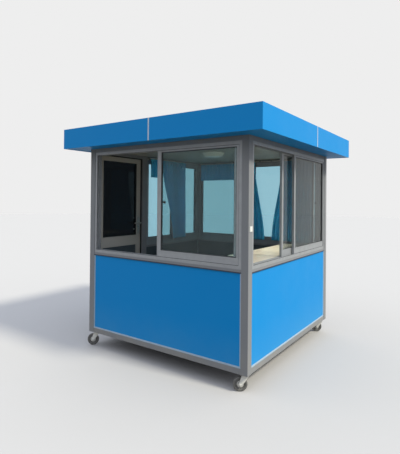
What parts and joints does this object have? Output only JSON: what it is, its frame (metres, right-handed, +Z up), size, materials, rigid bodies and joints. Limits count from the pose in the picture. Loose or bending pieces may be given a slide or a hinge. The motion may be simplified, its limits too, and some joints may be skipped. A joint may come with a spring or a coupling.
{
  "type": "guard booth",
  "caption": "Free-standing guard booth with blue panels, sliding windows all round, a glazed side door, an overhanging flat roof and swivel casters",
  "frame": {"origin": "on the ground, under the middle of the body's plan", "axes": "+X to the right along the front wall, +Y from the front wall to the back wall, +Z up"},
  "size_m": [2.444, 2.484, 2.405],
  "materials": {
    "frame_grey": "satin grey coated box section",
    "window_aluminium": "satin",
    "window_glass": "clear float glass",
    "panel_blue": "semi gloss blue coil coating",
    "roof_steel": "coated steel sheet",
    "lining_grey": "satin grey blue sheet",
    "ceiling_cream": "satin",
    "lamp_white": "opal",
    "deck_board": "covered board",
    "counter_cream": "laminate",
    "zinc_steel": "zinc plated",
    "curtain_cloth": "light blue woven",
    "wheel_rubber": "matt",
    "latch_black": "matt",
    "plate_white": "matt"
  },
  "bodies": {
    "booth": {"base_rails": "frame_grey", "caster_plates": "zinc_steel", "ceiling": "ceiling_cream", "ceiling_lamp": "lamp_white", "corner_posts": "frame_grey", "counter_brackets": "zinc_steel", "counter_top": "counter_cream", "curtain_drapes": "curtain_cloth", "curtain_rods": "zinc_steel", "curtain_valances": "curtain_cloth", "door_hinge_fixed_leaves": "zinc_steel", "door_post": "frame_grey", "fascia_joint_strips": "roof_steel", "floor_deck": "deck_board", "floor_joists": "frame_grey", "head_rails": "frame_grey", "inner_lining": "lining_grey", "panel_beads": "frame_grey", "post_plate": "plate_white", "roof_fascia": "panel_blue", "roof_purlins": "roof_steel", "roof_sheet": "roof_steel", "roof_soffit": "panel_blue", "roof_studs": "roof_steel", "sill_rails": "frame_grey", "wall_panels": "panel_blue", "window_back_frame": "window_aluminium", "window_back_glass": "window_glass", "window_back_sashes": "window_aluminium", "window_front_frame": "window_aluminium", "window_front_glass": "window_glass", "window_front_sashes": "window_aluminium", "window_latches": "latch_black", "window_left_frame": "window_aluminium", "window_left_glass": "window_glass", "window_left_sashes": "window_aluminium", "window_right_frame": "window_aluminium", "window_right_glass": "window_glass", "window_right_sashes": "window_aluminium"},
    "door": {"door_glass": "window_glass", "door_hinge_moving_leaves": "zinc_steel", "door_leaf": "frame_grey", "door_lock": "zinc_steel", "door_sheet": "lining_grey"},
    "swivel_front_left": {"caster_fork_front_left": "zinc_steel"},
    "wheel_front_left": {"caster_wheel_front_left": "wheel_rubber"},
    "swivel_front_right": {"caster_fork_front_right": "zinc_steel"},
    "wheel_front_right": {"caster_wheel_front_right": "wheel_rubber"},
    "swivel_back_left": {"caster_fork_back_left": "zinc_steel"},
    "wheel_back_left": {"caster_wheel_back_left": "wheel_rubber"},
    "swivel_back_right": {"caster_fork_back_right": "zinc_steel"},
    "wheel_back_right": {"caster_wheel_back_right": "wheel_rubber"}
  },
  "joints": [
    {"name": "door_hinge", "type": "hinge", "parent": "booth", "child": "door", "pos_m": [-1.006, -0.9665, 1.1], "axis": [0, 0, 1], "range_deg": [0, 110]},
    {"name": "swivel_front_left", "type": "hinge", "parent": "booth", "child": "swivel_front_left", "pos_m": [-0.94, -0.98, 0.15], "axis": [0, 0, 1], "continuous": true},
    {"name": "wheel_front_left", "type": "hinge", "parent": "swivel_front_left", "child": "wheel_front_left", "pos_m": [-0.97113, -1.0018, 0.0625], "axis": [0.5736, -0.8192, 0], "continuous": true},
    {"name": "swivel_front_right", "type": "hinge", "parent": "booth", "child": "swivel_front_right", "pos_m": [0.94, -0.98, 0.15], "axis": [0, 0, 1], "continuous": true},
    {"name": "wheel_front_right", "type": "hinge", "parent": "swivel_front_right", "child": "wheel_front_right", "pos_m": [0.90887, -1.0018, 0.0625], "axis": [0.5736, -0.8192, 0], "continuous": true},
    {"name": "swivel_back_left", "type": "hinge", "parent": "booth", "child": "swivel_back_left", "pos_m": [-0.94, 0.98, 0.15], "axis": [0, 0, 1], "continuous": true},
    {"name": "wheel_back_left", "type": "hinge", "parent": "swivel_back_left", "child": "wheel_back_left", "pos_m": [-0.97113, 0.9582, 0.0625], "axis": [0.5736, -0.8192, 0], "continuous": true},
    {"name": "swivel_back_right", "type": "hinge", "parent": "booth", "child": "swivel_back_right", "pos_m": [0.94, 0.98, 0.15], "axis": [0, 0, 1], "continuous": true},
    {"name": "wheel_back_right", "type": "hinge", "parent": "swivel_back_right", "child": "wheel_back_right", "pos_m": [0.90887, 0.9582, 0.0625], "axis": [0.5736, -0.8192, 0], "continuous": true}
  ]
}
